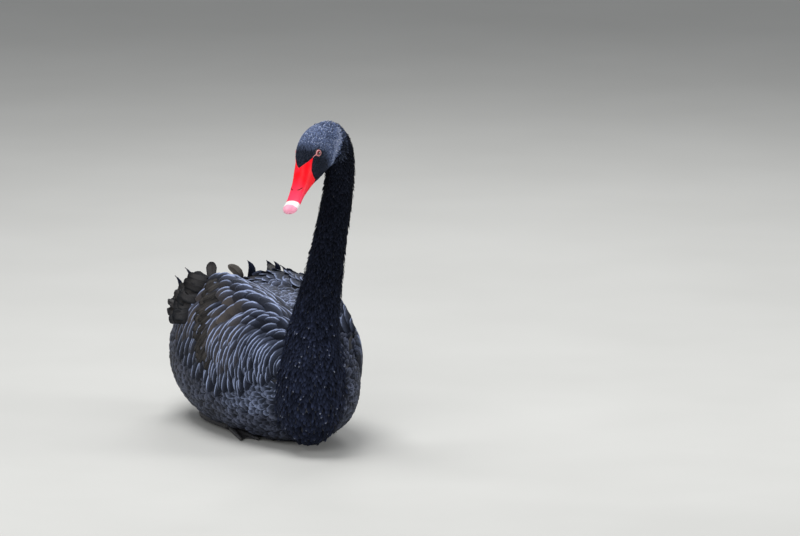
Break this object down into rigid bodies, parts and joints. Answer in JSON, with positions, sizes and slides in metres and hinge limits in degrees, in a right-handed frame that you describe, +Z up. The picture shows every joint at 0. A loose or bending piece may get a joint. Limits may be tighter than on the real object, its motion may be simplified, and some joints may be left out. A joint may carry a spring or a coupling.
{
  "type": "black swan",
  "caption": "Life-size still black swan resting on its belly, wings folded with curled feathers, neck upright and head turned down to its right.",
  "frame": {"origin": "middle of the flat of the belly, on the floor, under the middle of the body", "axes": "the bird faces -Y, its left side is +X, +Z is up"},
  "size_m": [0.2614, 0.6311, 0.5377],
  "materials": {
    "body_feathers": "soft black feathers with blue-grey edges",
    "neck_feathers": "short velvety black feathers",
    "wing_feathers": "black to brown-grey vanes with pale edges",
    "bill": "waxy red with a white band and pale nail",
    "eye": "wet dark red",
    "leg_skin": "dull grey-black scaled skin"
  },
  "bodies": {
    "root": {"torso": "body_feathers", "neck_lower": "neck_feathers", "neck_middle": "neck_feathers", "neck_upper": "neck_feathers", "head": "neck_feathers", "bill_upper": "bill", "bill_lower": "bill", "eye_left": "eye", "eye_right": "eye", "wing_left": "wing_feathers", "wing_right": "wing_feathers", "tail": "wing_feathers", "leg_left": "leg_skin", "leg_right": "leg_skin", "foot_left": "leg_skin", "foot_right": "leg_skin"}
  },
  "joints": []
}
